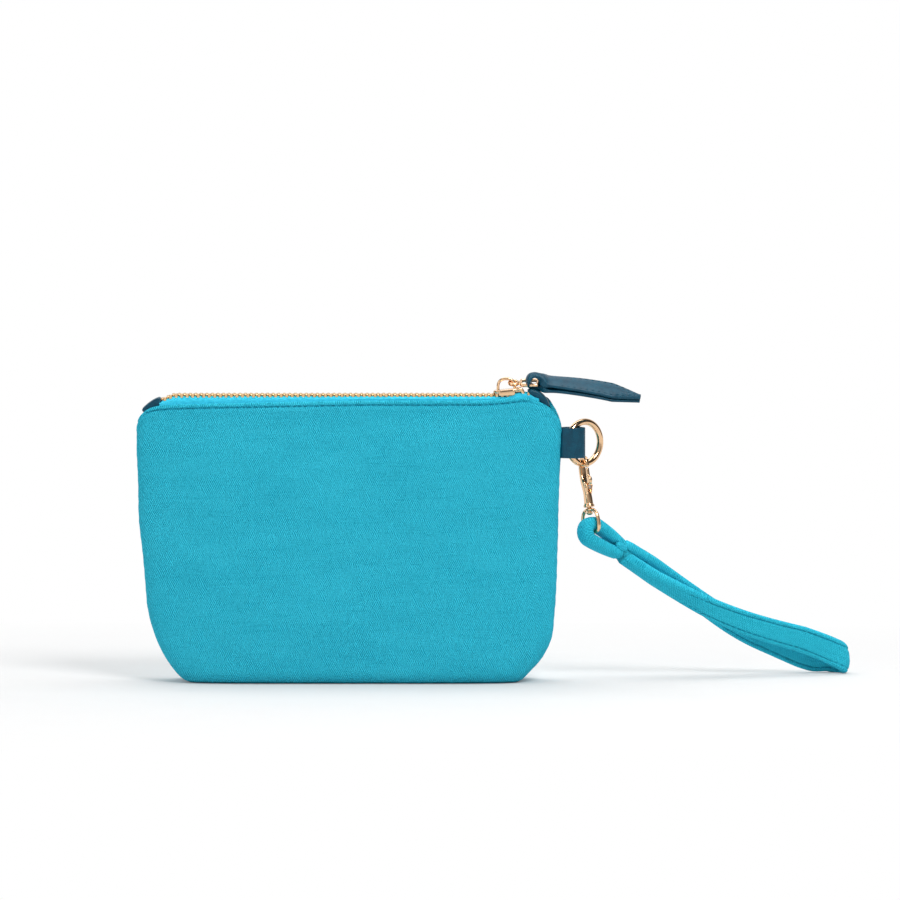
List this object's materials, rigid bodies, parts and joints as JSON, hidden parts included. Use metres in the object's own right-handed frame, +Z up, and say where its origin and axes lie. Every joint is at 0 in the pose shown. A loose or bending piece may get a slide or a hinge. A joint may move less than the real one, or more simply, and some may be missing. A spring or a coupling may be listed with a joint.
{
  "type": "zipped pouch with wrist strap",
  "caption": "Small boxed cloth pouch with a metal-toothed zip, a leather pull and a padded wrist strap on a ring and swivel snap hook.",
  "frame": {"origin": "middle of the flat base, on the surface that the pouch stands on", "axes": "+X towards the ring and wrist strap, +Z up to the zip, the front panel faces -Y"},
  "size_m": [0.3425, 0.0588, 0.1484],
  "materials": {
    "cloth": "matt woven cloth, turquoise",
    "lining": "smooth lining cloth, dark teal",
    "tape": "smooth woven zip tape, bright turquoise",
    "leather": "fine grained, dark teal",
    "gold": "polished pale rose gold plate",
    "spring_steel": "bright wire"
  },
  "bodies": {
    "root": {"back_panel": "cloth", "lining_back": "lining", "zip_tape_back": "tape", "zip_teeth_back": "gold", "zip_end_tab_left": "leather", "zip_end_tab_right": "leather", "side_tab": "leather"},
    "front_wall": {"front_panel": "cloth", "lining_front": "lining", "zip_tape_front": "tape", "zip_teeth_front": "gold"},
    "slider": {"slider_body": "gold", "slider_crown": "gold"},
    "link": {"pull_link": "gold"},
    "pull": {"leather_pull": "leather"},
    "ring": {"o_ring": "gold"},
    "hook": {"snap_hook": "gold", "gate_pin": "gold", "gate_spring": "spring_steel"},
    "gate": {"hook_gate": "gold"},
    "eye": {"swivel_eye": "gold"},
    "strap": {"wrist_strap": "cloth"}
  },
  "joints": [
    {"name": "zip_slide", "type": "slide", "parent": "root", "child": "slider", "axis": [-1, 0, 0], "range_m": [0, 0.159], "deforming": ["zip_teeth_back", "zip_tape_back"]},
    {"name": "mouth_open", "type": "hinge", "parent": "root", "child": "front_wall", "pos_m": [0, -0.013, 0.0007], "axis": [1, 0, 0], "range_deg": [0, 12.01], "deforming": ["zip_teeth_front", "zip_tape_front"]},
    {"name": "link_swing", "type": "hinge", "parent": "slider", "child": "link", "pos_m": [0.0758, 0, 0.1411], "axis": [0, -1, 0], "range_deg": [0, 138]},
    {"name": "pull_swing", "type": "hinge", "parent": "link", "child": "pull", "pos_m": [0.0897, 0, 0.1431], "axis": [0, 0.9397, 0.342], "range_deg": [-75.01, 0]},
    {"name": "ring_turn", "type": "hinge", "parent": "root", "child": "ring", "pos_m": [0.1055, -0.0009, 0.1143], "axis": [0, 0, 1], "range_deg": [-50, 6]},
    {"name": "hook_swing", "type": "hinge", "parent": "ring", "child": "hook", "pos_m": [0.11324, 0.00559, 0.1042], "axis": [-0.766, -0.6428, 0], "range_deg": [-45, 45]},
    {"name": "gate_open", "type": "hinge", "parent": "hook", "child": "gate", "pos_m": [0.11573, 0.00262, 0.09371], "axis": [-0.766, -0.6428, 0], "range_deg": [0, 25], "stiffness_Nm_per_rad": 0.01, "springref_deg": -17.19, "deforming": ["gate_spring"]},
    {"name": "eye_swivel", "type": "hinge", "parent": "hook", "child": "eye", "pos_m": [0.11324, 0.00559, 0.1042], "axis": [-0.1116, 0.133, 0.9848], "range_deg": [-120, 100]},
    {"name": "strap_lift", "type": "hinge", "parent": "eye", "child": "strap", "pos_m": [0.11694, 0.00118, 0.07155], "axis": [0.633, -0.7544, 0.1736], "range_deg": [-60, 50]}
  ],
  "couplings": [
    {"joint": "mouth_open", "follows": "zip_slide", "rad_per_m": 1.3172},
    {"joint": "pull_swing", "follows": "zip_slide", "rad_per_m": -8.2327}
  ]
}
